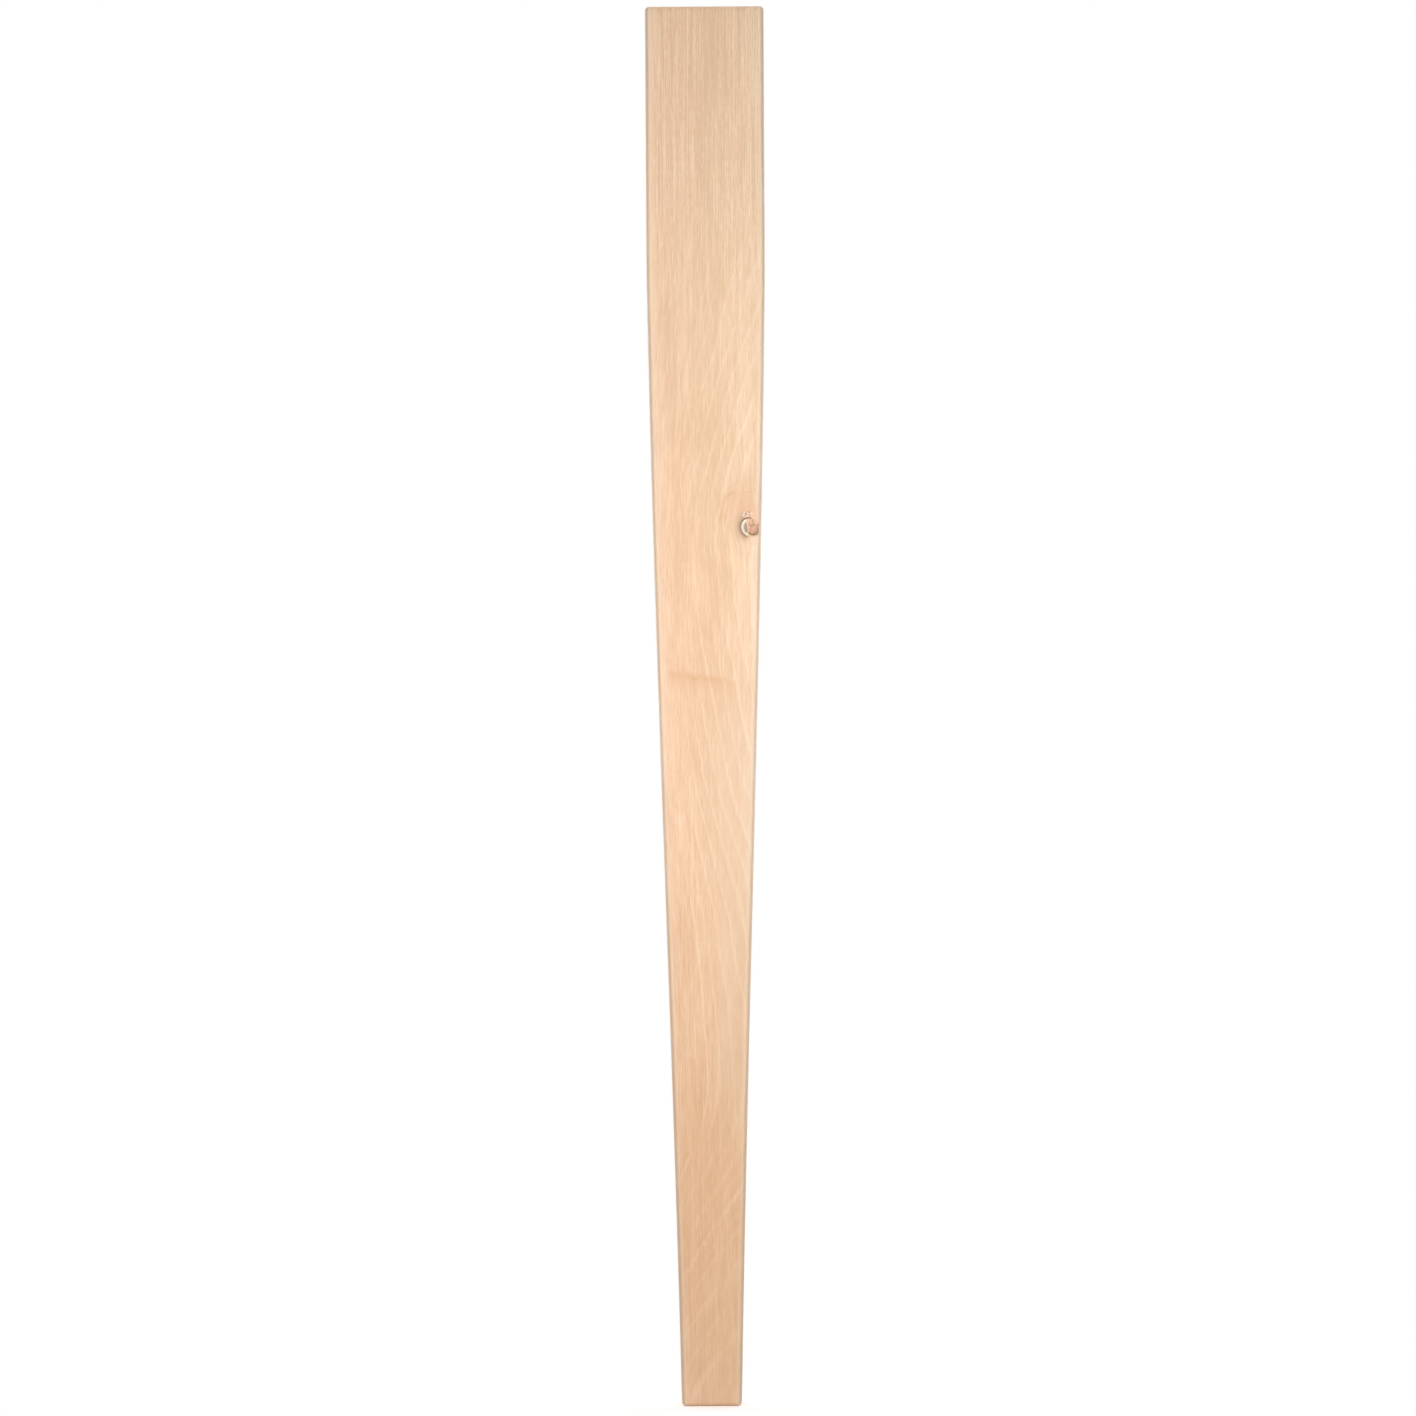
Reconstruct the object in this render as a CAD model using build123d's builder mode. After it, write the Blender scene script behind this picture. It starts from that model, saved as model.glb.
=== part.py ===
"""A tapered square table leg in solid wood, standing on its foot with the knot in front."""

import os
from math import radians, tan

from build123d import *

# Sizes over all, in millimetres
leg_length = 710.0
head_width = 60.0
head_length = 125.0
foot_width = 30.5

# The taper leaves the head in a soft bend, steepens midway and eases again towards the foot
bend_radius = 1200.0
upper_lean = 0.8
foot_lean = 1.1

# Sanded edges
arris_radius = 3.0
top_edge_radius = 1.8
foot_edge_radius = 2.5

# The knot, on the right of the front face
knot_height = 446.0
knot_offset = 22.0
knot_width = 9.4

# The gap where the knot has shrunk away from the wood on its left. Its outer wall slopes, and
# the wall on the knot's side is upright and slightly bowed
gap_width = 2.2
gap_tall = 7.9
gap_floor_width = 0.9
gap_floor_tall = 5.6
gap_depth = 1.8
gap_bow = 0.25
gap_lip = 0.3

# The leg seen square on: straight head, soft bend, curved taper, flat foot
with BuildLine() as outline:
    top = Line((0, leg_length), (head_width / 2, leg_length))
    head = Line(top @ 1, (head_width / 2, leg_length - head_length))
    bend = JernArc(head @ 1, head % 1, bend_radius, -upper_lean)
    taper_start = bend @ 1
    handle = taper_start.Y / 3
    upper_steer = taper_start + (bend % 1) * handle
    foot_steer = (foot_width / 2 + handle * tan(radians(foot_lean)), handle)
    taper = Bezier(taper_start, upper_steer, foot_steer, (foot_width / 2, 0))
    Line(taper @ 1, (0, 0))
    mirror(about=Plane.YZ)

with BuildPart() as leg:
    # The taper is sawn across one pair of faces, then across the other
    with BuildSketch(Plane.XZ.offset(-head_width)):
        make_face(outline.edges())
    extrude(amount=2 * head_width)
    with BuildSketch(Plane.YZ.offset(-head_width)):
        make_face(outline.edges())
    extrude(amount=2 * head_width, mode=Mode.INTERSECT)

    # The four long corners are rounded first, then the rims of both ends
    corners = leg.edges().filter_by(lambda e: e.bounding_box().size.Z > foot_edge_radius)
    fillet(corners, arris_radius)
    fillet(leg.faces().sort_by(Axis.Z)[-1].edges(), top_edge_radius)
    fillet(leg.faces().sort_by(Axis.Z)[0].edges(), foot_edge_radius)

    # The gap is cut square to the front face where the knot lies
    sight_line = Axis((knot_offset, 0, knot_height), (0, -1, 0))
    knot_point, knot_normal = leg.part.shell().find_intersection_points(sight_line)[-1]
    knot_face = Plane(knot_point, x_dir=(1, 0, 0), z_dir=knot_normal)
    knot_side = gap_width - knot_width / 2
    for width, tall, level in (
        (gap_width, gap_tall, gap_lip),
        (gap_floor_width, gap_floor_tall, -gap_depth),
    ):
        with BuildSketch(knot_face.offset(level)):
            with BuildLine():
                outer = ThreePointArc(
                    (knot_side + gap_bow, tall / 2),
                    (knot_side - width, 0),
                    (knot_side + gap_bow, -tall / 2),
                )
                ThreePointArc(outer @ 1, (knot_side, 0), outer @ 0)
            make_face()
    loft(ruled=True, mode=Mode.SUBTRACT)

leg.part.label = "leg"

os.makedirs("parts", exist_ok=True)
export_step(leg.part, "parts/leg.step")
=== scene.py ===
"""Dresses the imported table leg: a fine mesh of the wood, its grain and knot, and a plain studio."""

import logging
import math
from collections.abc import Mapping, Sequence
from dataclasses import dataclass, field
from enum import Enum
from typing import Any, Union

import bpy
from mathutils import Euler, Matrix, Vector, noise


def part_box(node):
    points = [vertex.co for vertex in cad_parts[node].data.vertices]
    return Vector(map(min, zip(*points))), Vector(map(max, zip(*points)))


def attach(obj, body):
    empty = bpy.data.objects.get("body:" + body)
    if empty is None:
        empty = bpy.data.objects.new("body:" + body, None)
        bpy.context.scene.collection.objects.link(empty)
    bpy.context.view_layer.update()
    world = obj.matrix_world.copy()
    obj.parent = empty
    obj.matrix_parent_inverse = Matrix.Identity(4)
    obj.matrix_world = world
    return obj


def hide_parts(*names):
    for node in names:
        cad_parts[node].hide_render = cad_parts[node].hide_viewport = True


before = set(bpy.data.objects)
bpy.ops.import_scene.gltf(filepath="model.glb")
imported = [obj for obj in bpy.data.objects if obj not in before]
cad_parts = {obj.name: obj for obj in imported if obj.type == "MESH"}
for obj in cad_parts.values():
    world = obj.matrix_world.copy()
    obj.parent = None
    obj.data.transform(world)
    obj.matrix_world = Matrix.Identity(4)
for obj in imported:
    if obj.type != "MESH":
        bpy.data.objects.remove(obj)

LOG = logging.getLogger("table_leg")
MM = 0.001  # metres in a millimetre
BODY = "root"
NODE = "leg"
BAKE_MAP = "OFBake"

Colour = tuple[float, float, float, float]
Operand = Union["Value", float]


def smooth(low: float, high: float, number: float) -> float:
    """Eases from 0 at low to 1 at high.

    Args:
        low: Where the step starts.
        high: Where it ends. It may lie below low, for a step that falls.
        number: The place to read.

    Returns:
        A share from 0 to 1.
    """
    share = min(max((number - low) / (high - low), 0.0), 1.0)
    return share * share * (3.0 - 2.0 * share)


def srgb(red: int, green: int, blue: int) -> Colour:
    """Turns a colour as seen on screen into the linear colour that a shader takes.

    Args:
        red: 0 to 255.
        green: 0 to 255.
        blue: 0 to 255.

    Returns:
        Linear red, green, blue and an alpha of 1.
    """
    shares = (channel / 255 for channel in (red, green, blue))
    linear = [s / 12.92 if s <= 0.04045 else ((s + 0.055) / 1.055) ** 2.4 for s in shares]
    return (linear[0], linear[1], linear[2], 1.0)


def graded(
    start: float, stop: float, centre: float, reach: float, fine: float, coarse: float
) -> list[float]:
    """Divides a stretch into steps that are fine round one place and grow away from it.

    Args:
        start: First place.
        stop: Last place.
        centre: Middle of the fine part.
        reach: How far the finest steps go to each side.
        fine: Smallest step.
        coarse: Largest step.

    Returns:
        Places from start to stop, both included.
    """
    growth = 0.22
    places = [start]
    while places[-1] < stop:
        away = max(abs(places[-1] - centre) - reach, 0.0)
        places.append(places[-1] + min(fine + growth * away, coarse))
    stretch = (stop - start) / (places[-1] - start)
    return [start + (place - start) * stretch for place in places]


class Side(Enum):
    """The leg's four faces, anticlockwise from above, with the way each one looks."""

    FRONT = (0, -1)
    RIGHT = (1, 0)
    BACK = (0, 1)
    LEFT = (-1, 0)


class Value:
    """A number that varies over a surface. Arithmetic on it adds Math nodes."""

    def __init__(self, bench: "NodeBench", socket: bpy.types.NodeSocket) -> None:
        """Keeps the socket and the bench that further nodes go on."""
        self.bench = bench
        self.socket = socket

    def __add__(self, other: Operand) -> "Value":
        """Adds."""
        return self.bench.maths("ADD", self, other)

    __radd__ = __add__

    def __sub__(self, other: Operand) -> "Value":
        """Takes other away."""
        return self.bench.maths("SUBTRACT", self, other)

    def __rsub__(self, other: Operand) -> "Value":
        """Takes this away from other."""
        return self.bench.maths("SUBTRACT", other, self)

    def __mul__(self, other: Operand) -> "Value":
        """Multiplies."""
        return self.bench.maths("MULTIPLY", self, other)

    __rmul__ = __mul__

    def __truediv__(self, other: Operand) -> "Value":
        """Divides by other."""
        return self.bench.maths("DIVIDE", self, other)

    def __rtruediv__(self, other: Operand) -> "Value":
        """Divides other by this."""
        return self.bench.maths("DIVIDE", other, self)

    def __pow__(self, other: Operand) -> "Value":
        """Raises this to a power."""
        return self.bench.maths("POWER", self, other)

    def __rpow__(self, other: Operand) -> "Value":
        """Raises other to this power."""
        return self.bench.maths("POWER", other, self)

    def root(self) -> "Value":
        """Square root."""
        return self.bench.maths("SQRT", self)

    def size(self) -> "Value":
        """Absolute value."""
        return self.bench.maths("ABSOLUTE", self)

    def whole(self) -> "Value":
        """Whole part, rounded down."""
        return self.bench.maths("FLOOR", self)

    def part(self) -> "Value":
        """Fractional part."""
        return self.bench.maths("FRACT", self)

    def step(self, low: float, high: float) -> "Value":
        """Eases from 0 at low to 1 at high.

        Args:
            low: Where the step starts.
            high: Where it ends. It may lie below low, for a step that falls.

        Returns:
            A share from 0 to 1.
        """
        settings = {"interpolation_type": "SMOOTHSTEP"}
        sockets = {"Value": self, "From Min": low, "From Max": high}
        return self.bench.value("ShaderNodeMapRange", settings, sockets, "Result")

    def bell(self, width: float) -> "Value":
        """A smooth hump, 1 at 0 and nearly gone at twice the width."""
        return math.e ** ((self / width) ** 2.0 * -1.0)


class NodeBench:
    """Lays out the nodes of one material, world or lamp."""

    def __init__(self, tree: bpy.types.NodeTree) -> None:
        """Empties the tree and keeps it."""
        self.tree = tree
        tree.nodes.clear()

    def node(
        self,
        kind: str,
        settings: Mapping[str, Any] | None = None,
        sockets: Mapping[str | int, Any] | None = None,
    ) -> bpy.types.Node:
        """Adds one node.

        Args:
            kind: Blender's name for the node's type.
            settings: The node's own options, set first. "stops" holds a ramp's places and colours.
            sockets: Inputs by name or number, each a number, a colour, a link or a Value.

        Returns:
            The new node.
        """
        made = self.tree.nodes.new(kind)
        for name, setting in (settings or {}).items():
            if name == "stops":
                self._set_stops(made.color_ramp, setting)
            else:
                setattr(made, name, setting)
        for name, given in (sockets or {}).items():
            source = given.socket if isinstance(given, Value) else given
            if isinstance(source, bpy.types.NodeSocket):
                self.tree.links.new(source, made.inputs[name])
            else:
                made.inputs[name].default_value = source
        return made

    @staticmethod
    def _set_stops(ramp: bpy.types.ColorRamp, stops: Sequence[tuple[float, Colour]]) -> None:
        """Gives a ramp these stops, in order.

        Args:
            ramp: The ramp to change.
            stops: The place and the colour of each stop.
        """
        while len(ramp.elements) < len(stops):
            ramp.elements.new(1.0)
        for element, (place, colour) in zip(ramp.elements, stops, strict=True):
            element.position = place
            element.color = colour

    def value(
        self,
        kind: str,
        settings: Mapping[str, Any] | None = None,
        sockets: Mapping[str | int, Any] | None = None,
        output: str | int = 0,
    ) -> Value:
        """Adds one node and returns one of its outputs as a Value.

        Args:
            kind: As in node.
            settings: As in node.
            sockets: As in node.
            output: The output's name or number.

        Returns:
            That output.
        """
        return Value(self, self.node(kind, settings, sockets).outputs[output])

    def maths(self, operation: str, *operands: Operand) -> Value:
        """Adds a Math node."""
        return self.value("ShaderNodeMath", {"operation": operation}, dict(enumerate(operands)))

    def mix(self, low: Any, high: Any, share: Operand, blend: str = "MIX") -> bpy.types.NodeSocket:
        """Mixes two colours.

        Args:
            low: The colour at share 0, as a colour or a link.
            high: The colour at share 1, likewise.
            share: How far from low to high.
            blend: Blender's name for the way of mixing.

        Returns:
            The mixed colour's socket.
        """
        settings = {"data_type": "RGBA", "blend_type": blend, "clamp_factor": True}
        return self.node("ShaderNodeMix", settings, {0: share, 6: low, 7: high}).outputs[2]

    def point(self, x: Operand, y: Operand, z: Operand) -> bpy.types.NodeSocket:
        """Joins three numbers to a vector."""
        return self.node("ShaderNodeCombineXYZ", None, {0: x, 1: y, 2: z}).outputs[0]

    def speckle(self, place: bpy.types.NodeSocket, detail: float = 2.0, rough: float = 0.5) -> Value:
        """Soft noise from -1 to 1, one grain for each unit of place.

        Args:
            place: Where to read it.
            detail: How many finer layers lie on it.
            rough: How strong those layers are.

        Returns:
            The noise.
        """
        sockets = {"Vector": place, "Scale": 1.0, "Detail": detail, "Roughness": rough}
        return self.value("ShaderNodeTexNoise", None, sockets, 0) * 2.0 - 1.0

    def shown(self) -> Value:
        """1 where the camera looks, straight, in a mirror or through glass, and 0 for light that falls.

        Returns:
            That share.
        """
        path = self.node("ShaderNodeLightPath")
        rays = ("Is Camera Ray", "Is Glossy Ray", "Is Transmission Ray")
        seen, mirrored, through = (Value(self, path.outputs[name]) for name in rays)
        return self.maths("MINIMUM", seen + mirrored + through, 1.0)


@dataclass(frozen=True)
class Outline:
    """The leg seen square on, in millimetres: straight head, soft bend, curved taper, flat foot."""

    length: float
    head_width: float
    head_length: float = 125.0
    foot_width: float = 30.5
    bend_radius: float = 1200.0
    upper_lean: float = 0.8
    foot_lean: float = 1.1

    def half_width(self, height: float) -> float:
        """Half the leg's width at a height.

        Args:
            height: Above the foot.

        Returns:
            The distance from the leg's axis to its face.
        """
        head = self.head_width / 2
        bend_top = self.length - self.head_length
        if height >= bend_top:
            return head
        lean = math.radians(self.upper_lean)
        taper_top = bend_top - self.bend_radius * math.sin(lean)
        if height >= taper_top:
            return head - self.bend_radius + math.sqrt(self.bend_radius**2 - (bend_top - height) ** 2)
        start = head - self.bend_radius * (1 - math.cos(lean))
        handle = taper_top / 3
        foot = self.foot_width / 2
        steer = start - handle * math.tan(lean)
        foot_steer = foot + handle * math.tan(math.radians(self.foot_lean))
        down = 1 - height / taper_top
        up = 1 - down
        upper = up**3 * start + 3 * up * up * down * steer
        return upper + 3 * up * down * down * foot_steer + down**3 * foot


@dataclass(frozen=True)
class KnotSpot:
    """What the knot does to one spot of the surface: how deep it lies, which stains it shows, and its
    painted shade and highlight.
    """

    depth: float = 0.0
    wall: float = 0.0
    gap: float = 0.0
    crack: float = 0.0
    core: float = 0.0
    painted_shade: float = 0.0
    fleck: float = 0.0


KNOT_MARKS = ("wall", "gap", "crack", "core", "painted_shade", "fleck")


@dataclass(frozen=True)
class Arch:
    """A short arched stroke by the knot, in millimetres from the knot's middle."""

    across: float
    along: float
    half_length: float
    sag: float
    breadth: float

    def share(self, across: float, along: float) -> float:
        """How far a spot lies on the stroke.

        Args:
            across: To the right of the knot's middle.
            along: Above it.

        Returns:
            A share from 0 to 1.
        """
        side = (across - self.across) / self.half_length
        off = (along - self.along + self.sag * side * side) / self.breadth
        return math.exp(-off * off) * smooth(1.2, 0.75, abs(side))


@dataclass(frozen=True)
class RimArc:
    """An arc round the knot's core: 1 away at the core's rim, in degrees from the right."""

    radius: float
    breadth: float
    start: float
    stop: float
    ease: float = 18.0

    def share(self, out: float, bearing: float) -> float:
        """How far a spot lies on the arc.

        Args:
            out: The spot's distance from the core's middle.
            bearing: The spot's bearing.

        Returns:
            A share from 0 to 1.
        """
        off = (out - self.radius) / self.breadth
        begun = smooth(self.start, self.start + self.ease, bearing)
        return math.exp(-off * off) * begun * smooth(self.stop, self.stop - self.ease, bearing)


@dataclass(frozen=True)
class Knot:
    """A small knot that has shrunk away from the wood on its left, in millimetres and degrees."""

    right: float = 22.0
    height: float = 446.4
    width: float = 9.4
    tall: float = 9.0
    turn: float = 4.3
    gap_width: float = 2.8
    gap_round: float = 4.8
    gap_depth: float = 1.8
    wall_width: float = 1.3
    core_right: float = 1.35
    core_width: float = 5.8
    core_square: float = 2.6
    core_tall: float = 8.2
    reach: float = 10.0
    lip_drop: float = 0.12
    groove_depth: float = 0.22
    # How far the painted shade left of the gap reaches.
    painted_shade_reach: float = 1.6
    core_drop: float = 0.1
    core_rough: float = 0.08
    crack_depth: float = 0.42
    fleck_height: float = 0.05
    faint_ring: RimArc = RimArc(1.24, 0.13, -10.0, 100.0)
    low_crack: RimArc = RimArc(0.94, 0.075, -140.0, -30.0)
    right_crack: RimArc = RimArc(0.93, 0.09, -70.0, 30.0)
    high_crack: Arch = Arch(-0.9, 4.75, 1.9, 0.4, 0.32)
    right_lip: RimArc = RimArc(1.1, 0.07, -66.0, 10.0)
    high_lip: Arch = Arch(-0.9, 5.5, 2.1, 0.8, 0.3)
    flecks: tuple[tuple[float, float], ...] = ((-2.6, 7.6), (-3.0, 6.2), (1.0, 6.9), (-0.8, 6.9))
    fleck_area: float = 0.18
    pits: tuple[tuple[float, float], ...] = ((-1.8, 6.9), (0.0, 7.5), (0.1, 5.9))
    pit_area: float = 0.2

    def spot(self, right: float, up: float) -> KnotSpot:
        """Reads the knot at one spot of the front face.

        Args:
            right: Across from the knot's middle.
            up: Above the knot's middle.

        Returns:
            How deep the spot lies, how it is stained, and its painted shade and highlight.
        """
        if math.hypot(right, up) > self.reach:
            return KnotSpot()
        turn = math.radians(self.turn)
        across = right * math.cos(turn) + up * math.sin(turn)
        along = up * math.cos(turn) - right * math.sin(turn)
        gap, core = self._gap(across, along), self._core(across, along)
        return KnotSpot(
            depth=gap.depth + core.depth * (1 - gap.gap),
            wall=gap.wall,
            gap=gap.gap,
            crack=core.crack * (1 - gap.wall),
            core=core.core * (1 - gap.wall),
            painted_shade=max(gap.painted_shade, core.painted_shade),
            fleck=core.fleck,
        )

    def _gap(self, across: float, along: float) -> KnotSpot:
        """The crescent gap, with a sloping outer wall of torn wood and a steep one by the core; the wood
        left of it takes a painted shade.

        Args:
            across: To the right of the knot's middle, in the knot's own turn.
            along: Above it, likewise.

        Returns:
            The gap's share in the spot.
        """
        inner = self.gap_width - self.width / 2
        centre = self.gap_round - self.width / 2
        deep = self.gap_round - math.hypot(across - centre, along)
        swing = abs(math.degrees(math.atan2(along, centre - across)))
        # Left of the gap the wood dips slightly and takes a painted shade that fades away from the gap.
        if deep < 0:
            near = math.exp(deep / self.painted_shade_reach) * smooth(88.0, 52.0, swing)
            return KnotSpot(depth=self.lip_drop * near, painted_shade=near)
        rough = noise.noise(Vector((across * 1.3, along * 1.3, 8.1)))
        tip = smooth(70.0, 54.0, swing)
        inside = smooth(inner + 0.05, inner - 0.32, across)
        slope = 0.3 * smooth(0.0, 1.2, deep) + 0.7 * smooth(1.0, 1.6, deep + 0.12 * rough)
        groove = smooth(1.4, 0.6, deep) * smooth(0.0, 0.25, deep)
        lip = smooth(0.5, 0.0, deep)
        # The outer wall, pale torn wood that also takes a painted highlight.
        wall = smooth(-0.15, 0.2, deep) * smooth(self.wall_width + 0.2, self.wall_width - 0.2, deep)
        # The gap's floor, which takes a painted shade.
        floor = smooth(self.wall_width - 0.15, self.wall_width + 0.35, deep)
        floor *= smooth(inner + 0.25, inner - 0.15, across)
        depth = self.gap_depth * slope * inside + self.lip_drop * lip + self.groove_depth * groove
        return KnotSpot(depth=depth * tip, wall=wall * tip, gap=floor * tip)

    def _core(self, across: float, along: float) -> KnotSpot:
        """The knot's own end grain, slightly sunk, with cracks round parts of its rim.

        Args:
            across: To the right of the knot's middle, in the knot's own turn.
            along: Above it, likewise.

        Returns:
            The core's share in the spot.
        """
        side = across - self.core_right
        square = self.core_square
        wide = abs(2 * side / self.core_width) ** square
        tall = abs(2 * along / self.core_tall) ** square
        bearing = math.degrees(math.atan2(along, side))
        rough = noise.noise(Vector((across * 1.1, along * 1.1, 3.7)))
        edge = (wide + tall) ** (1 / square) + 0.05 * rough
        core = smooth(1.1, 0.9, edge) * smooth(-0.75, 0.1, across - self.gap_width + self.width / 2)
        core = max(core, 0.4 * self.faint_ring.share(edge, bearing))
        split = abs(noise.noise(Vector((bearing / 24.0, edge * 1.5, 11.0))))
        checks = smooth(0.25, 0.6, split) * smooth(0.95, 0.8, edge)
        crack = self.low_crack.share(edge, bearing)
        crack += self.right_crack.share(edge, bearing) * smooth(-0.4, 0.1, rough)
        crack += 0.95 * self.high_crack.share(across, along) + 0.45 * checks * core
        crack = min(crack + 0.55 * self._dots(self.pits, self.pit_area, across, along), 1.0)
        fleck = 0.8 * self.high_lip.share(across, along) + 0.7 * self.right_lip.share(edge, bearing)
        fleck = min(fleck + self._dots(self.flecks, self.fleck_area, across, along), 1.0)
        depth = core * (self.core_drop + self.core_rough * rough)
        depth += self.crack_depth * crack - self.fleck_height * fleck
        # A painted shade under the core's lower rim.
        below = smooth(1.35, 1.0, edge) * smooth(0.9, 1.0, edge)
        below *= smooth(-10.0, -50.0, bearing) * smooth(-170.0, -140.0, bearing)
        return KnotSpot(depth=depth, crack=crack, core=core, painted_shade=0.45 * below, fleck=fleck)

    @staticmethod
    def _dots(
        middles: Sequence[tuple[float, float]], area: float, across: float, along: float
    ) -> float:
        """How far a spot lies on any of a few small dots.

        Args:
            middles: Where the dots are.
            area: How large each one is, in square millimetres.
            across: To the right of the knot's middle.
            along: Above it.

        Returns:
            The dots' shares, added up.
        """
        return sum(math.exp(-((across - x) ** 2 + (along - y) ** 2) / area) for x, y in middles)


@dataclass(frozen=True)
class WoodTones:
    """The colours of pale sanded hardwood."""

    deep: Colour = srgb(228, 189, 151)
    body: Colour = srgb(245, 208, 173)
    pale: Colour = srgb(255, 228, 199)
    pink: Colour = srgb(252, 208, 177)
    butter: Colour = srgb(252, 223, 190)
    foot: Colour = srgb(238, 229, 218)
    grey: Colour = srgb(244, 215, 189)
    # Pale for the painted highlight along the arrises, also standing for paler sanded wood.
    edge: Colour = srgb(255, 236, 214)
    # Grey for the painted shade on the rounded arrises and end rims.
    corner: Colour = srgb(198, 196, 188)
    # Warm pale for the painted highlight on the upper left arris.
    left_edge_highlight: Colour = srgb(255, 214, 174)
    end: Colour = srgb(214, 168, 126)
    mark: Colour = srgb(226, 176, 132)
    halo: Colour = srgb(230, 176, 144)
    knot: Colour = srgb(238, 196, 166)
    knot_dark: Colour = srgb(190, 132, 102)
    crack: Colour = srgb(126, 78, 52)
    # Grey-brown for the painted shade on the gap's floor.
    gap: Colour = srgb(189, 175, 157)
    # Pale torn wood on the gap's outer wall, brightened further as a painted highlight.
    torn: Colour = srgb(249, 239, 217)
    # Dark brown for the painted shade left of and under the knot.
    painted_shade: Colour = srgb(124, 98, 70)
    fleck: Colour = srgb(255, 244, 232)


@dataclass(frozen=True)
class WoodSpot:
    """One spot of the wood, in millimetres, with its bearings from the knot's branch."""

    x: Value
    y: Value
    z: Value
    knot_x: Value
    knot_z: Value
    knot_far: Value
    knot_near: Value
    flow: Value


@dataclass(frozen=True)
class Grain:
    """What the grain shows at one spot."""

    fine: Value
    dash: Value
    band: Value
    sweep: Value
    cloud: Value
    line: Value
    saw: Value
    radius: Value


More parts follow.
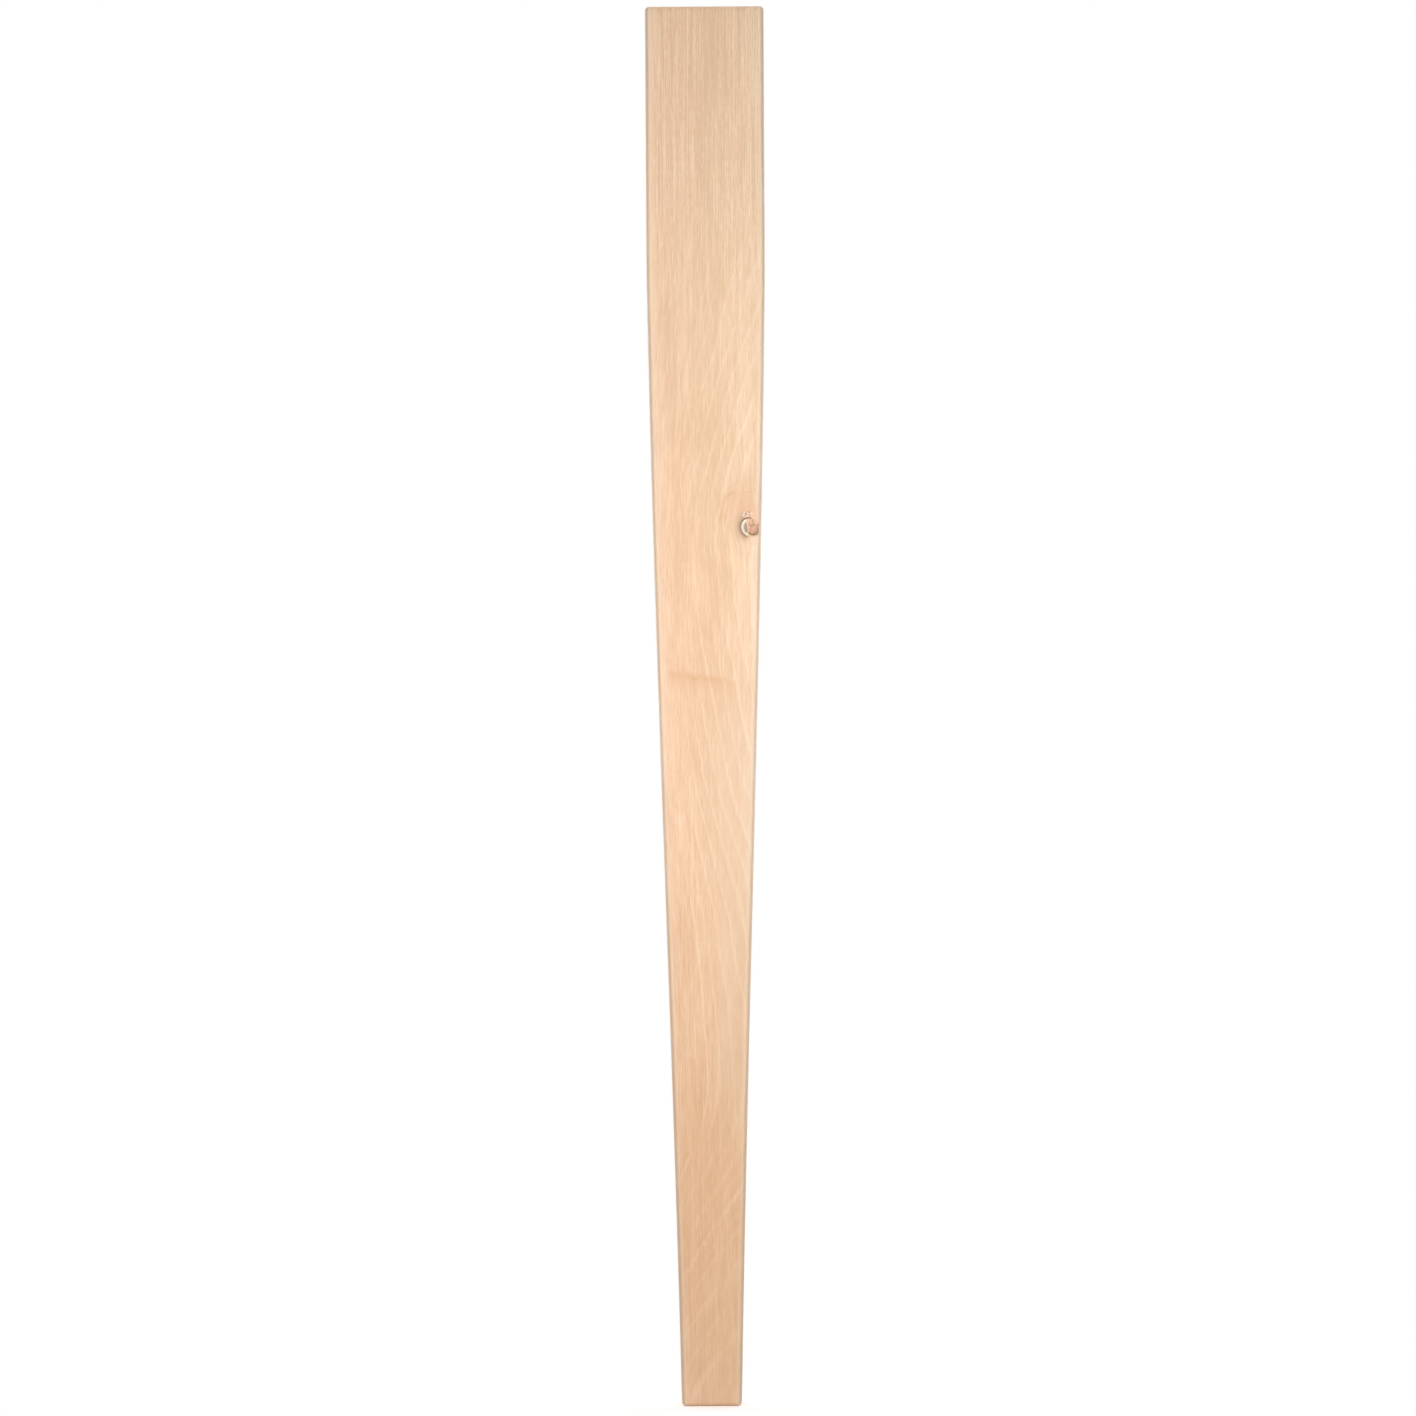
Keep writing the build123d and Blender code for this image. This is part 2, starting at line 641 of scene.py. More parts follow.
@dataclass(frozen=True)
class SandedWood:
    """Pale close-grained hardwood, sanded and left bare. Lengths are in millimetres."""

    knot: Knot
    face_depth: float
    tones: WoodTones = WoodTones()
    pith: tuple[float, float] = (62.0, 82.0)
    wide_ring: float = 6.8
    ring_change: float = 100.0
    ring_gain: float = 0.19
    fibre: float = 0.72
    thin_fibre: float = 0.5
    long_fibre: float = 30.0
    short_fibre: float = 8.5
    broken_fibre: float = 4.0
    branch_right: float = 0.2
    branch_up: float = 0.12
    branch_push: float = 34.0
    branch_ease: float = 22.0
    # Share of the grey painted shade over the rounded arrises and end rims.
    corner_painted_shade: float = 0.28
    roughness: float = 0.6
    gloss: float = 0.15
    bump_height: float = 0.04
    bump_strength: float = 0.25

    def material(self) -> bpy.types.Material:
        """Builds the finish.

        Returns:
            The material.
        """
        made = bpy.data.materials.new("sanded_wood")
        made.use_nodes = True
        bench = NodeBench(made.node_tree)
        spot = self._spot(bench)
        grain = self._grain(bench, spot)
        colour = self._plank(bench, spot, grain)
        colour = self._brown_mark(bench, spot, grain, colour)
        colour = self._knot_stains_and_shade(bench, spot, grain, colour)
        ends = self._facing(bench, 2).step(0.55, 0.95)
        colour = self._end_grain(bench, spot, grain, ends, colour)
        # Painted shade: grey over the rounded arrises and end rims, darkening the edges.
        colour = bench.mix(colour, self.tones.corner, self._attribute(bench, "corner") * self.corner_painted_shade)
        height = grain.fine * 0.5 + grain.line * 0.3 + grain.band * 0.2 - grain.dash * 0.6
        relief = {"Strength": self.bump_strength, "Distance": self.bump_height * MM, "Height": height}
        bump = bench.node("ShaderNodeBump", None, relief)
        sockets = {
            "Base Color": colour,
            "Roughness": self.roughness - grain.fine * 0.05 + ends * 0.1,
            "Normal": bump.outputs[0],
            "Specular IOR Level": self.gloss,
        }
        shader = bench.node("ShaderNodeBsdfPrincipled", None, sockets)
        bench.node("ShaderNodeOutputMaterial", None, {"Surface": shader.outputs[0]})
        return made

    def _spot(self, bench: NodeBench) -> WoodSpot:
        """Reads where a spot lies, and how the fibres bend there round the knot's branch.

        Args:
            bench: The material's nodes.

        Returns:
            The spot.
        """
        place = bench.node("ShaderNodeTexCoord").outputs["Object"]
        axes = bench.node("ShaderNodeSeparateXYZ", None, {0: place})
        x, y, z = (Value(bench, axes.outputs[i]) / MM for i in range(3))
        inward = y + self.face_depth
        knot_x = x - self.knot.right + inward * self.branch_right
        knot_z = z - self.knot.height + inward * self.branch_up
        far = (knot_x**2.0 + knot_z**2.0).root()
        near = inward.step(38.0, 12.0)
        flow = x - knot_x * near * self.branch_push / (far**2.0 + self.branch_ease)
        return WoodSpot(x, y, z, knot_x, knot_z, far, near, flow)

    def _grain(self, bench: NodeBench, spot: WoodSpot) -> Grain:
        """Fibres along the leg, and growth rings that drift across its faces.

        Args:
            bench: The material's nodes.
            spot: Where to read the grain.

        Returns:
            The grain there.
        """
        y, z, flow = spot.y, spot.z, spot.flow

        def streaks(
            across: float, length: float, detail: float, rough: float = 0.5, seed: float = 0.0
        ) -> Value:
            """Noise drawn out along the leg."""
            return bench.speckle(bench.point(flow / across + seed, y / across, z / length), detail, rough)

        head = z.step(540.0, 620.0)
        shin = z.step(400.0, 300.0) * z.step(150.0, 190.0)
        shoe = z.step(160.0, 120.0)
        long = streaks(self.fibre, self.long_fibre, 2.0, 0.6, 3.0) * (0.66 + head * 0.1)
        thin = streaks(self.thin_fibre, self.long_fibre * 2.0, 1.0, 0.5, 83.0) * head * 1.45
        short = streaks(self.fibre, self.short_fibre, 2.0, 0.6) * (0.34 + z.step(70.0, 230.0) * 0.42)
        broken = streaks(self.thin_fibre, self.broken_fibre, 1.0, 0.5, 71.0) * (0.25 + head * 0.55)
        fine = long + thin + short * (1.0 - head * 0.1) + broken
        dash = streaks(0.34, 5.0, 1.0, 0.5, 31.0).step(0.22, 0.55)
        band = streaks(1.4, 110.0, 2.0, 0.5, 40.0) * (1.4 + z.step(570.0, 650.0) * 0.3)
        broad = 1.6 + z.step(330.0, 400.0) * 0.5 - head * 1.9
        band = band + streaks(6.5, 34.0, 1.0, 0.5, 53.0) * broad
        feather = streaks(0.6, 8.0, 2.0, 0.6, 17.0)
        drift = streaks(34.0, 75.0, 2.0)
        cloud = bench.speckle(bench.point(spot.x / 26.0 + 7.0, y / 26.0, z / 90.0), 2.0)
        cloud = cloud * (1.0 - head * 0.5)
        radius = ((flow - self.pith[0]) ** 2.0 + (y - self.pith[1]) ** 2.0).root()
        ring = radius + self._wander(z) * 0.5 + drift * 2.2 + feather * (0.5 + shoe * 0.6)
        ring = ring + spot.knot_far.bell(8.0) * spot.knot_near * 2.5
        beyond = bench.maths("MAXIMUM", ring - self.ring_change, 0.0)
        count = ring / self.wide_ring + beyond * self.ring_gain
        edge = (count.part() - 0.5).size() * 2.0
        number = (count + 0.5).whole()
        lot = bench.value("ShaderNodeTexWhiteNoise", {"noise_dimensions": "1D"}, {"W": number})
        patch = bench.speckle(bench.point(spot.x / 9.0, y / 13.0, z / 42.0 + 9.0), 2.0)
        patch = (patch + shin * 0.35 - shoe * 0.2).step(-0.6, 0.2)
        strength = 0.2 + z.step(640.0, 570.0) * 0.34 + shin * 0.26 + shoe * 0.04
        strength = strength - z.step(85.0, 60.0) * z.step(15.0, 45.0) * 0.2
        strength = strength * (1.0 - spot.x.step(-3.0, -13.0) * z.step(120.0, 180.0) * 0.7)
        few = lot.step(0.35, 0.7)
        weak = (1.0 - few) * (1.0 - shoe * 0.6) * 0.65
        sweep = bench.speckle(bench.point(ring / 4.5, y / 40.0, z / 150.0 + 3.0), 2.0)
        sweep = sweep * z.step(610.0, 550.0)
        line = (edge + shoe * 0.15).step(0.66, 0.98) * (few + weak) * patch * strength
        return Grain(fine, dash, band, sweep, cloud, line, count.part(), radius)

    @staticmethod
    def _wander(z: Value) -> Value:
        """How far the growth rings lean across the front face at each height.

        Args:
            z: The height.

        Returns:
            The lean, in millimetres to the right.
        """
        upper = z.step(622.0, 436.0) * -32.0
        middle = z.step(440.0, 166.0) * 54.0
        lower = z.step(165.0, -60.0) * -110.0
        return upper + middle + lower

    def _plank(self, bench: NodeBench, spot: WoodSpot, grain: Grain) -> bpy.types.NodeSocket:
        """The long faces: streaks, ring lines, slow changes of tint, a darker foot, and painted arris
        highlights that also stand for paler sanded edges.

        Args:
            bench: The material's nodes.
            spot: Where to read them.
            grain: The grain there.

        Returns:
            The colour.
        """
        t = self.tones
        x, z = spot.x, spot.z
        tone = 0.42 + grain.fine * 0.85 + grain.band * 0.2 + grain.sweep * 0.3
        tone = tone + grain.cloud * 0.14 - grain.dash * 0.3
        heart = (x - 1.0).bell(11.0) * z.step(260.0, 420.0)
        heart = heart + (x - 6.0).bell(11.0) * z.step(600.0, 700.0) * 0.8
        outer = x.step(6.0, 24.0) * z.step(540.0, 480.0) * z.step(330.0, 380.0)
        bow = (spot.knot_far - 18.0).bell(6.0) * spot.knot_x.step(4.0, -8.0)
        bow = bow * spot.knot_z.step(14.0, 2.0) * spot.knot_near
        tone = tone + grain.line * 0.75 + (grain.saw - 0.5) * 0.1
        tone = tone - heart * 0.19 + outer * 0.12 + bow * 0.1
        stops = [(0.0, t.deep), (0.5, t.body), (1.0, t.pale)]
        colour = bench.node("ShaderNodeValToRGB", {"stops": stops}, {0: tone}).outputs[0]
        hue = (x / 55.0 + 0.33 + grain.cloud * 0.4 + z.step(400.0, 540.0) * 0.45).step(0.0, 1.0)
        colour = bench.mix(colour, bench.mix(t.pink, t.butter, hue), 0.32)
        grey = x.step(-4.0, 8.0) * z.step(390.0, 320.0) * z.step(120.0, 170.0)
        colour = bench.mix(colour, t.grey, grey * 0.35)
        # Painted highlight: a warm band along the front's upper left arris.
        strip = x.step(-24.5, -27.5) * spot.y.step(-18.0, -22.0) * z.step(500.0, 600.0)
        colour = bench.mix(colour, t.left_edge_highlight, strip * 0.5)
        # Painted highlight along the arrises' inner part, also standing for paler sanded wood.
        colour = bench.mix(colour, t.edge, self._attribute(bench, "rim") * 0.5)
        # Darker, more tan towards the foot; the ease over the last 20 mm is painted light against the
        # shade by the floor.
        lower = z.step(420.0, 40.0) - z.step(80.0, 40.0) * 0.15 - z.step(20.0, 2.0) * 0.35
        return bench.mix(colour, t.foot, lower, "MULTIPLY")

    def _brown_mark(
        self, bench: NodeBench, spot: WoodSpot, grain: Grain, colour: bpy.types.NodeSocket
    ) -> bpy.types.NodeSocket:
        """The faint brown stroke across the front face below the knot.

        Args:
            bench: The material's nodes.
            spot: Where to read it.
            grain: The grain there.
            colour: The wood under it.

        Returns:
            The colour with the mark.
        """
        wave = bench.speckle(bench.point(spot.x / 5.0, 4.0, spot.z / 16.0), 2.0)
        level = spot.z - 371.0 + spot.x * 0.13 + wave * 2.6
        sharp = level.step(2.4, -1.0) * level.step(-4.0, -1.0) * 0.5
        stroke = sharp + level.step(1.0, -1.6) * level.step(-11.0, -1.0) * 0.8
        length = spot.x.step(-22.0, -18.0) * spot.x.step(17.0, 6.0) * spot.y.step(-18.0, -22.0)
        return bench.mix(colour, self.tones.mark, stroke * length * (0.4 + grain.fine * 0.4 + wave * 0.4))

    def _knot_stains_and_shade(
        self, bench: NodeBench, spot: WoodSpot, grain: Grain, colour: bpy.types.NodeSocket
    ) -> bpy.types.NodeSocket:
        """The knot's core, gap and cracks, the stained wood that swirls round it, and the painted shade
        and highlight by the gap.

        Args:
            bench: The material's nodes.
            spot: Where to read them.
            grain: The grain there.
            colour: The wood under them.

        Returns:
            The colour with the knot.
        """
        t = self.tones
        above = spot.knot_z - 12.0
        halo = ((spot.knot_x + 3.5) ** 2.0 + (above * 0.85) ** 2.0).root().bell(10.0)
        halo = halo * spot.knot_near
        colour = bench.mix(colour, t.halo, halo * (0.34 + grain.fine * 0.4))
        crown = ((spot.knot_x + 1.0) ** 2.0 + (spot.knot_z - 7.5) ** 2.0).root().bell(4.5)
        colour = bench.mix(colour, t.halo, crown * spot.knot_near * 0.32)
        swirl_far = ((spot.knot_x + 1.0) ** 2.0 + ((spot.knot_z - 3.0) * 0.85) ** 2.0).root()
        bearing = bench.maths("ARCTAN2", spot.knot_z, spot.knot_x)
        arcs = bench.speckle(bench.point(swirl_far / 0.9, bearing * 1.6, 3.0), 2.0).step(-0.25, 0.5)
        reach = (swirl_far - 14.5).bell(4.0) * spot.knot_z.step(-2.0, 6.0)
        reach = reach * spot.knot_x.step(6.0, -6.0) * spot.knot_near
        colour = bench.mix(colour, t.mark, arcs * reach * 0.7)
        # Painted shade left of the gap and under the core.
        colour = bench.mix(colour, t.painted_shade, self._attribute(bench, "painted_shade"))
        mottle = bench.speckle(bench.point(spot.knot_x / 0.75, spot.y / 2.0, spot.knot_z / 2.6), 3.0)
        depth = mottle * 1.1 + 0.25 + (spot.knot_x - 1.5).bell(1.2) * 0.26 - spot.knot_z * 0.08
        core = bench.mix(t.knot, t.knot_dark, depth)
        colour = bench.mix(colour, core, self._attribute(bench, "core") * 0.9)
        colour = bench.mix(colour, t.fleck, self._attribute(bench, "fleck") * 0.85)
        # The gap's outer wall: pale torn wood, partly a painted highlight.
        colour = bench.mix(colour, t.torn, self._attribute(bench, "wall"))
        # Painted shade on the gap's floor.
        colour = bench.mix(colour, t.gap, self._attribute(bench, "gap"))
        return bench.mix(colour, t.crack, self._attribute(bench, "crack") * 0.9)

    @staticmethod
    def _facing(bench: NodeBench, axis: int) -> Value:
        """How squarely the surface looks along an axis, either way.

        Args:
            bench: The material's nodes.
            axis: 0 for x, 1 for y, 2 for z.

        Returns:
            A share from 0 to 1.
        """
        normal = bench.node("ShaderNodeNewGeometry").outputs["Normal"]
        return bench.value("ShaderNodeSeparateXYZ", None, {0: normal}, axis).size()

    def _end_grain(
        self, bench: NodeBench, spot: WoodSpot, grain: Grain, ends: Value, colour: bpy.types.NodeSocket
    ) -> bpy.types.NodeSocket:
        """The sawn ends, darker, with rings and fine rays.

        Args:
            bench: The material's nodes.
            spot: Where to read them.
            grain: The grain there.
            ends: How far the surface is an end.
            colour: The long faces' colour.

        Returns:
            The colour of both.
        """
        t = self.tones
        turn = bench.maths("ARCTAN2", spot.y - self.pith[1], spot.x - self.pith[0]) * 110.0
        rays = bench.speckle(bench.point(turn / 0.5, grain.radius / 9.0, 0.0), 2.0)
        pores = bench.speckle(bench.point(spot.x / 0.35, spot.y / 0.35, 5.0), 2.0)
        late = grain.saw.step(0.55, 0.95) * grain.saw.step(1.0, 0.97)
        shade = 0.58 - late * 0.34 + rays * 0.25 + pores * 0.3
        return bench.mix(colour, bench.mix(t.end, t.body, shade), ends * 0.88)

    @staticmethod
    def _attribute(bench: NodeBench, name: str) -> Value:
        """One of the masks that the mesh holds."""
        return bench.value("ShaderNodeAttribute", {"attribute_name": name}, None, "Fac")


@dataclass(frozen=True)
class Column:
    """One line of points up the leg: its share of the flat square, the way out, its place on a strip."""

    across: float
    through: float
    out_x: float
    out_y: float
    strip: int
    share: float
    from_arris: float


@dataclass
class Draft:
    """A mesh in the making, in millimetres, with each face corner's place on the bake map."""

    points: list[tuple[float, float, float]] = field(default_factory=list)
    faces: list[tuple[int, ...]] = field(default_factory=list)
    corners: list[tuple[float, float]] = field(default_factory=list)
    spots: list[KnotSpot] = field(default_factory=list)
    # Each point's shares of the painted arris highlight and of the painted corner shade.
    edge_paint: list[tuple[float, float]] = field(default_factory=list)

    def add_point(
        self, place: tuple[float, float, float], spot: KnotSpot, edge_paint: tuple[float, float]
    ) -> int:
        """Adds a point.

        Args:
            place: Where it is.
            spot: What the knot does there.
            edge_paint: Its shares of the painted arris highlight and of the painted corner shade.

        Returns:
            The point's number.
        """
        self.points.append(place)
        self.spots.append(spot)
        self.edge_paint.append(edge_paint)
        return len(self.points) - 1

    def add_face(
        self, numbers: Sequence[int], corners: Sequence[tuple[float, float]], flip: bool = False
    ) -> None:
        """Adds a face.

        Args:
            numbers: Its points.
            corners: The place of each on the bake map.
            flip: True to turn it over.
        """
        step = -1 if flip else 1
        self.faces.append(tuple(numbers[::step]))
        self.corners.extend(corners[::step])

    def mesh(self, name: str) -> bpy.types.Mesh:
        """Makes the mesh, in metres.

        Args:
            name: Its name.

        Returns:
            The mesh, smooth shaded, with its masks and its bake map.
        """
        made = bpy.data.meshes.new(name)
        made.from_pydata([tuple(c * MM for c in point) for point in self.points], [], self.faces)
        made.shade_smooth()
        masks = {mark: [getattr(spot, mark) for spot in self.spots] for mark in KNOT_MARKS}
        # rim holds the painted arris highlight, corner the painted corner shade.
        edge_highlights, corners = zip(*self.edge_paint, strict=True)
        for mark, numbers in (masks | {"rim": edge_highlights, "corner": corners}).items():
            made.attributes.new(mark, "FLOAT", "POINT").data.foreach_set("value", numbers)
        layer = made.uv_layers.new(name=BAKE_MAP)
        layer.data.foreach_set("uv", [number for corner in self.corners for number in corner])
        return made


@dataclass
class TableLeg:
    """The leg as one closed mesh. Lengths are in millimetres."""

    outline: Outline
    knot: Knot = field(default_factory=Knot)
    arris_radius: float = 3.0
    arris_wander: float = 0.3
    wander_length: float = 70.0
    # How far the painted arris highlight reaches onto the flat face; it also stands for paler sanded wood.
    edge_highlight_width: float = 0.8
    top_edge_radius: float = 1.8
    foot_edge_radius: float = 2.5
    half_arris_steps: int = 5
    rim_steps: int = 6
    face_steps: int = 18
    row_step: float = 3.0
    knot_step: float = 0.17
    cap_rings: int = 5
    strip_pitch: float = 0.2
    strip_pad: float = 0.008

    def build(self) -> bpy.types.Object:
        """Makes the leg's mesh.

        Returns:
            The leg, not dressed yet.
        """
        columns, levels = self._columns(), self._levels()
        draft = Draft()
        for height, inset in levels:
            for column in columns:
                draft.add_point(*self._point(column, height, inset))
        self._skin(draft, columns, [height for height, _ in levels])
        wide = len(columns)
        self._cap(draft, 0, wide, True)
        self._cap(draft, (len(levels) - 1) * wide, wide, False)
        leg = bpy.data.objects.new("sanded_leg", draft.mesh("sanded_leg"))
        bpy.context.collection.objects.link(leg)
        return leg

    def dress(self, leg: bpy.types.Object) -> None:
        """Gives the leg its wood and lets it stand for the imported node.

        Args:
            leg: The leg to dress.
        """
        finish = SandedWood(self.knot, self.outline.half_width(self.knot.height))
        leg.data.materials.append(finish.material())
        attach(leg, BODY)
        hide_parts(NODE)

    def _columns(self) -> list[Column]:
        """Lays out the lines of points up the leg.

        Returns:
            The lines, anticlockwise from the arris left of the front face.
        """
        flat = self.outline.half_width(self.knot.height) - self.arris_radius
        even = [2 * flat * i / self.face_steps - flat for i in range(self.face_steps + 1)]
        fine = graded(-flat, flat, self.knot.right, self.knot.width / 2 + 1.5, self.knot_step, 3.0)
        bend = self.arris_radius * math.pi / 4
        steps = self.half_arris_steps
        columns = []
        for strip, side in enumerate(Side):
            out_x, out_y = side.value
            ahead = math.degrees(math.atan2(out_y, out_x))
            places = fine if side is Side.FRONT else even
            turns = [(i / steps - 1, -flat) for i in range(steps)]
            turns += [(0.0, place) for place in places]
            turns += [(i / steps, flat) for i in range(1, steps)]
            for number, (turn, place) in enumerate(turns):
                way = math.radians(ahead + 45 * turn)
                arc = place + turn * bend
                share = (arc + flat + bend) / (2 * (flat + bend))
                columns.append(
                    Column(
                        across=out_x - out_y * place / flat,
                        through=out_y + out_x * place / flat,
                        out_x=math.cos(way),
                        out_y=math.sin(way),
                        strip=strip,
                        share=0.65 * share + 0.35 * number / len(turns),
                        from_arris=flat - abs(place),
                    )
                )
        return columns

    def _levels(self) -> list[tuple[float, float]]:
        """Lays out the rows of points, close together at the knot and on the rounded rims.

        Returns:
            The height of each row, and how far a rim draws the section in there.
        """
        turns = [math.radians(90 * i / self.rim_steps) for i in range(self.rim_steps + 1)]
        foot, top = self.foot_edge_radius, self.top_edge_radius
        length = self.outline.length
        reach = self.knot.tall / 2 + 2.5
        rows = graded(foot, length - top, self.knot.height + 0.8, reach, self.knot_step, self.row_step)
        levels = [(foot * (1 - math.sin(t)), foot * (1 - math.cos(t))) for t in reversed(turns[1:])]
        levels += [(row, 0.0) for row in rows]
        levels += [(length - top * (1 - math.sin(t)), top * (1 - math.cos(t))) for t in turns[1:]]
        return levels

    def _point(
        self, column: Column, height: float, inset: float
    ) -> tuple[tuple[float, float, float], KnotSpot, tuple[float, float]]:
        """Places one point of the skin.

        Args:
            column: The line it is on.
            height: Above the foot.
            inset: How far a rounded rim draws in.

        Returns:
            The point, what the knot does there, and its shares of the painted arris highlight and the
            painted corner shade.
        """
        corner_seed = (round(column.across) * 3.1 + 5.0, round(column.through) * 3.1)
        sway = noise.noise(Vector((height / self.wander_length, *corner_seed)))
        radius = self.arris_radius + self.arris_wander * sway
        flat = self.outline.half_width(height) - radius
        x = column.across * flat + column.out_x * (radius - inset)
        y = column.through * flat + column.out_y * (radius - inset)
        spot = KnotSpot()
        if column.out_y < -0.1:
            spot = self.knot.spot(x - self.knot.right, height - self.knot.height)
            x -= column.out_x * spot.depth
            y -= column.out_y * spot.depth
        bend = min(abs(column.out_x), abs(column.out_y))
        # rim: painted highlight on the flat's edge and the arris's inner part, also standing for paler
        # sanded wood.
        rim = math.exp(-column.from_arris / self.edge_highlight_width) * smooth(0.55, 0.4, bend)
        rim *= 0.3 + 0.7 * smooth(0.05, 0.25, bend)
        # corner: painted shade over each arris's outer part and over the rounded end rims.
        edge_radius = self.foot_edge_radius if height < self.outline.length / 2 else self.top_edge_radius
        corner = max(smooth(0.42, 0.68, bend), 0.5 * smooth(0.1, 0.4, inset / edge_radius))
        return (x, y, height), spot, (rim, corner)

    def _skin(self, draft: Draft, columns: Sequence[Column], heights: Sequence[float]) -> None:
        """Joins neighbouring rows and columns by four-sided faces.

        Args:
            draft: The mesh, whose points run row by row.
            columns: Its columns.
            heights: Its rows.
        """
        wide, high = len(columns), len(heights)
        rise = [0.72 * z / self.outline.length + 0.28 * row / (high - 1) for row, z in enumerate(heights)]
        pad = self.strip_pad
        rise = [pad + (1 - 2 * pad) * share for share in rise]
        for row in range(high - 1):
            low, up = row * wide, (row + 1) * wide
            for number, column in enumerate(columns):
                after = (number + 1) % wide
                same = columns[after].strip == column.strip
                left = self._strip_place(column.strip, column.share)
                right = self._strip_place(column.strip, columns[after].share if same else 1.0)
                v, w = rise[row], rise[row + 1]
                draft.add_face(
                    (low + number, low + after, up + after, up + number),
                    ((left, v), (right, v), (right, w), (left, w)),
                )

    def _strip_place(self, strip: int, share: float) -> float:
        """Where a share of one strip lies across the bake map."""
        return strip * self.strip_pitch + self.strip_pad + share * (self.strip_pitch - 2 * self.strip_pad)

    def _cap(self, draft: Draft, start: int, wide: int, flip: bool) -> None:
        """Closes one end with rings that shrink to its middle.

        Args:
            draft: The mesh, added to.
            start: Number of the rim's first point.
            wide: How many points the rim has.
            flip: True for the end that looks down.
        """
        rim = draft.points[start : start + wide]
        half = max(x for x, _, _ in rim)
        middle = (4.5 * self.strip_pitch, 0.25 if flip else 0.75)
        size = (self.strip_pitch / 2 - self.strip_pad, 0.25 - self.strip_pad)

        def corner(number: int) -> tuple[float, float]:
            """A point's place on the bake map."""
            x, y, _ = draft.points[number]
            return (middle[0] + size[0] * x / half, middle[1] + size[1] * y / half)

        outer = list(range(start, start + wide))
        for ring in range(1, self.cap_rings):
            share = 1 - (ring / self.cap_rings) ** 1.7
            inner = [draft.add_point((x * share, y * share, z), KnotSpot(), (0.0, 0.0)) for x, y, z in rim]
            for number in range(wide):
                after = (number + 1) % wide
                quad = (outer[number], outer[after], inner[after], inner[number])
                draft.add_face(quad, [corner(n) for n in quad], flip)
            outer = inner
        tip = draft.add_point((0.0, 0.0, rim[0][2]), KnotSpot(), (0.0, 0.0))
        for number in range(wide):
            wedge = (outer[number], outer[(number + 1) % wide], tip)
            draft.add_face(wedge, [corner(n) for n in wedge], flip)


@dataclass(frozen=True)
class Lamp:
    """One soft square lamp."""

    name: str
    place: tuple[float, float, float]
    aim: tuple[float, float, float]
    width: float
    watts: float
    spread: float = 105.0

    def light(self) -> None:
        """Hangs the lamp and turns it to its aim.

        The camera doesn't see the lamp itself.
        """
        lamp = bpy.data.lights.new(self.name, "AREA")
        lamp.shape = "SQUARE"
        lamp.size = self.width
        lamp.energy = self.watts
        lamp.spread = math.radians(self.spread)
        holder = bpy.data.objects.new(self.name, lamp)
        holder.location = self.place
        way = Vector(self.aim) - Vector(self.place)
        holder.rotation_euler = way.to_track_quat("-Z", "Y").to_euler()
        holder.visible_camera = False
        bpy.context.collection.objects.link(holder)


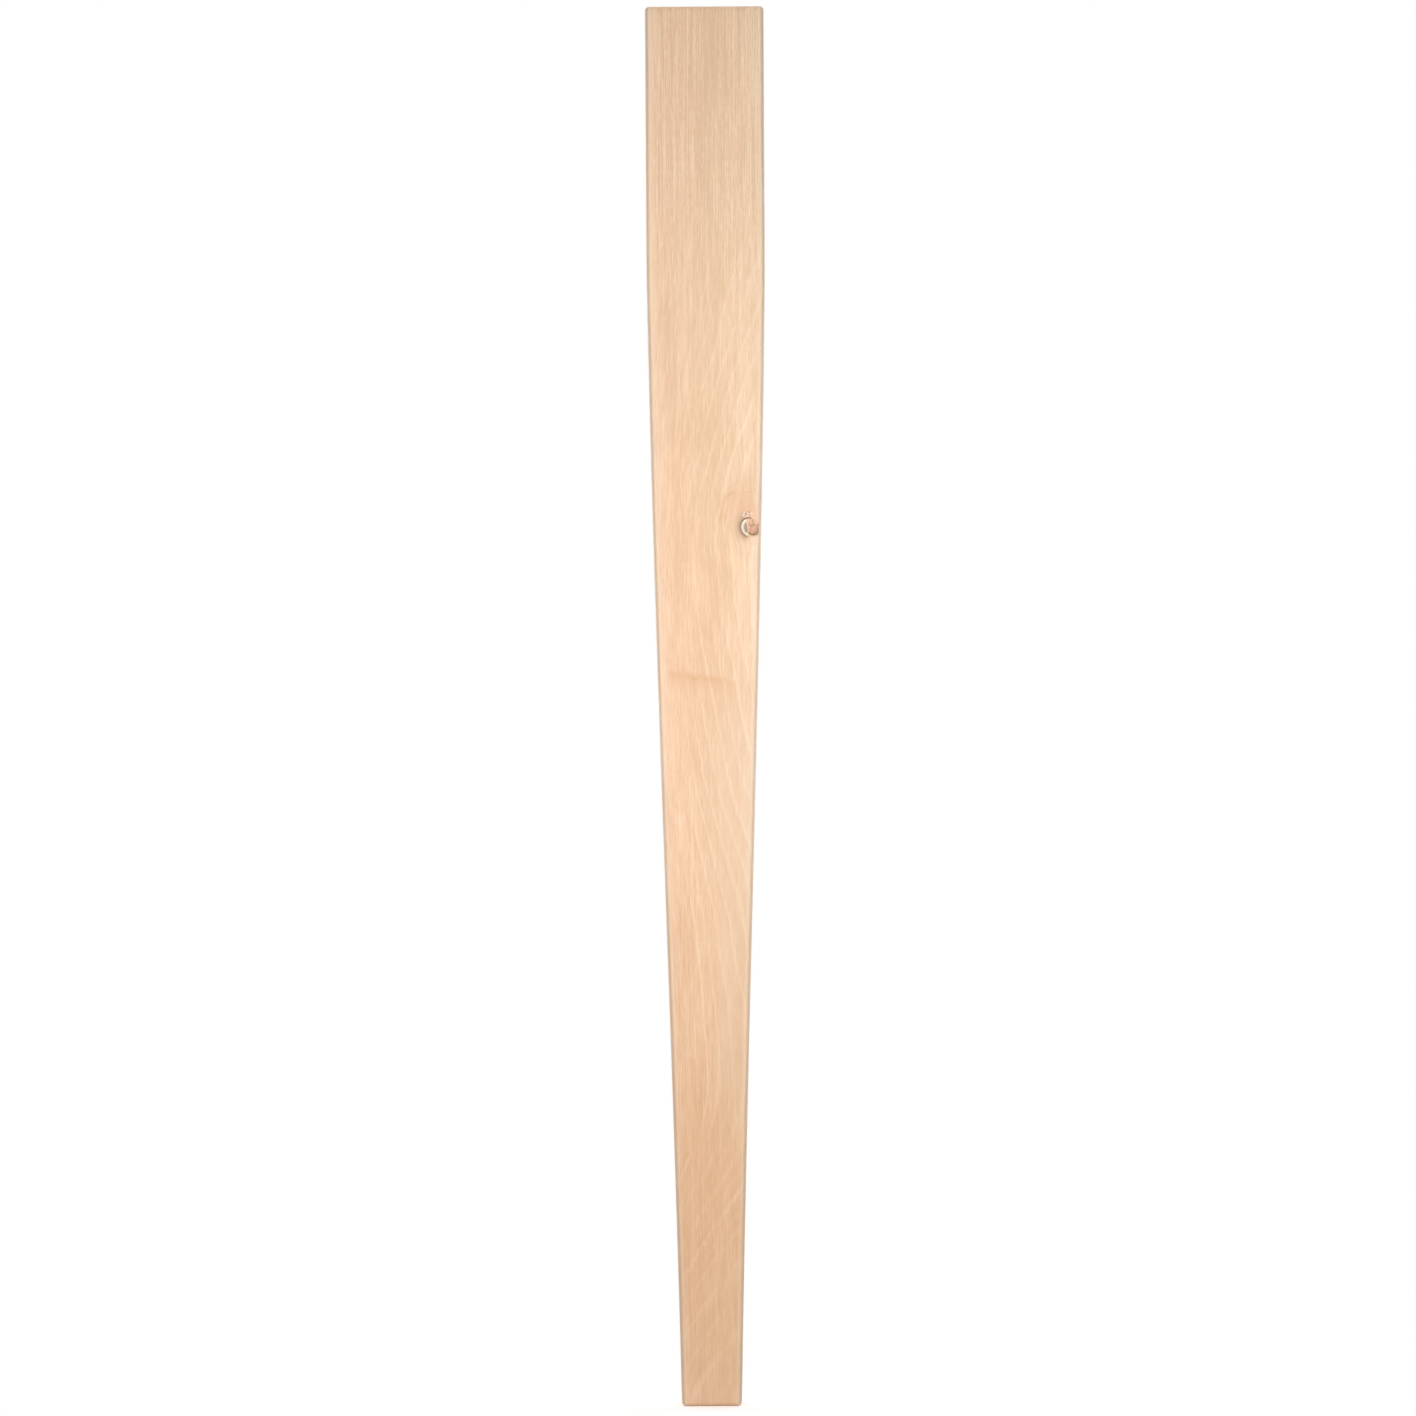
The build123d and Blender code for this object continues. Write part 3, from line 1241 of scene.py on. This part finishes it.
@dataclass
class Studio:
    """A white floor, soft lamps and the camera. Lengths are in metres."""

    target: tuple[float, float, float] = (-0.00005, -0.03, 0.35485)
    distance: float = 4.0
    view_height: float = 0.7166
    roll: float = 0.32
    sensor: float = 36.0
    floor_width: float = 6.0
    floor_drop: float = 0.0002
    floor_grey: float = 0.88
    shadow_grey: float = 0.72
    shadow_lift: float = 0.55
    shadow_near: float = 0.03
    shadow_far: float = 0.14
    foot_print: float = 0.0132
    print_ease: float = 0.0004
    ambient: float = 0.17
    lamps: tuple[Lamp, ...] = (
        Lamp("key_lamp", (0.36, -0.98, 0.40), (0.0, 0.0, 0.40), 0.45, 1.62),
        Lamp("fill_lamp", (-0.38, -0.98, 0.40), (0.0, 0.0, 0.40), 0.5, 1.53),
        Lamp("top_lamp", (0.0, 0.25, 1.6), (0.0, 0.0, 0.7), 0.5, 2.0),
        Lamp("right_back_lamp", (0.75, 0.75, 0.40), (0.0, 0.0, 0.40), 0.5, 1.9),
        Lamp("left_back_lamp", (-0.75, 0.75, 0.40), (0.0, 0.0, 0.40), 0.5, 1.9),
    )

    def build(self) -> None:
        """Sets the stage, the lamps, the sky and the camera.

        Colours are shown as they are, by the standard view.
        """
        scene = bpy.context.scene
        scene.view_settings.view_transform = "Standard"
        self._floor()
        for lamp in self.lamps:
            lamp.light()
        self._sky(scene)
        self._camera(scene)

    def _floor(self) -> None:
        """Lays the floor just under the foot.
        """
        half = self.floor_width / 2
        low = -self.floor_drop
        corners = [(-half, -half, low), (half, -half, low), (half, half, low), (-half, half, low)]
        mesh = bpy.data.meshes.new("studio_floor")
        mesh.from_pydata(corners, [], [(0, 1, 2, 3)])
        mesh.materials.append(self._floor_paint())
        floor = bpy.data.objects.new("studio_floor", mesh)
        bpy.context.collection.objects.link(floor)

    def _floor_paint(self) -> bpy.types.Material:
        """Mixes a white that keeps the leg's shadow close by, and is clear from below.

        Under the foot it gives back as much light as other faces get, so that the sole shows its wood.

        Returns:
            The material.
        """
        paint = bpy.data.materials.new("studio_white")
        paint.use_nodes = True
        bench = NodeBench(paint.node_tree)

        def coat(kind: str, grey: float) -> bpy.types.NodeSocket:
            """One coat of plain grey."""
            return bench.node(kind, None, {"Color": (grey, grey, grey, 1.0)}).outputs[0]

        def laid(
            share: Value, low: bpy.types.NodeSocket, high: bpy.types.NodeSocket
        ) -> bpy.types.NodeSocket:
            """One coat laid over another."""
            return bench.node("ShaderNodeMixShader", None, {0: share, 1: low, 2: high}).outputs[0]

        seen = bench.shown()
        place = bench.node("ShaderNodeTexCoord").outputs["Object"]
        away = bench.value("ShaderNodeVectorMath", {"operation": "LENGTH"}, {0: place}, "Value")
        axes = bench.node("ShaderNodeSeparateXYZ", None, {0: place})
        across, through = (Value(bench, axes.outputs[axis]).size() for axis in range(2))
        print_edge = bench.maths("MAXIMUM", across, through)
        under = print_edge.step(self.foot_print, self.foot_print - self.print_ease)
        white = coat("ShaderNodeEmission", 1.0)
        lit = laid(under, coat("ShaderNodeBsdfDiffuse", self.floor_grey), white)
        soft = coat("ShaderNodeBsdfDiffuse", self.shadow_grey)
        lift = coat("ShaderNodeEmission", self.shadow_lift)
        near = bench.node("ShaderNodeAddShader", None, {0: soft, 1: lift}).outputs[0]
        top = laid(away.step(self.shadow_near, self.shadow_far) * seen, laid(seen, lit, near), white)
        below = bench.value("ShaderNodeNewGeometry", None, None, "Backfacing")
        surface = laid(below, top, bench.node("ShaderNodeBsdfTransparent").outputs[0])
        bench.node("ShaderNodeOutputMaterial", None, {"Surface": surface})
        return paint

    def _sky(self, scene: bpy.types.Scene) -> None:
        """Hangs a sky that is plain white to look at, and softer as a light.

        Args:
            scene: The scene to give it to.
        """
        world = bpy.data.worlds.new("studio_sky")
        scene.world = world
        world.use_nodes = True
        bench = NodeBench(world.node_tree)
        grey = (self.ambient, self.ambient, self.ambient, 1.0)
        colour = bench.mix(grey, (1.0, 1.0, 1.0, 1.0), bench.shown())
        sky = bench.node("ShaderNodeBackground", None, {"Color": colour})
        bench.node("ShaderNodeOutputWorld", None, {"Surface": sky.outputs[0]})

    def _camera(self, scene: bpy.types.Scene) -> None:
        """Stands the camera square to the front face, level with the leg's middle.

        Args:
            scene: The scene to give it to.
        """
        camera = bpy.data.cameras.new("studio_camera")
        camera.sensor_width = self.sensor
        camera.lens = self.sensor * self.distance / self.view_height
        holder = bpy.data.objects.new("studio_camera", camera)
        holder.location = (self.target[0], self.target[1] - self.distance, self.target[2])
        holder.rotation_euler = Euler((math.radians(90), math.radians(self.roll), 0.0), "XYZ")
        bpy.context.collection.objects.link(holder)
        scene.camera = holder


def main() -> None:
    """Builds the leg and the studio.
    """
    logging.basicConfig(level=logging.INFO, format="%(name)s: %(message)s")
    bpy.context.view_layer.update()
    LOG.info("frame: %d node", len(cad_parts))
    low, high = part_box(NODE)
    leg = TableLeg(Outline(length=(high[2] - low[2]) / MM, head_width=(high[0] - low[0]) / MM))
    piece = leg.build()
    leg.dress(piece)
    LOG.info("%s: %d faces", piece.name, len(piece.data.polygons))
    Studio().build()
    LOG.info("studio: floor, lamps, sky and camera")


if __name__ == "__main__":
    main()
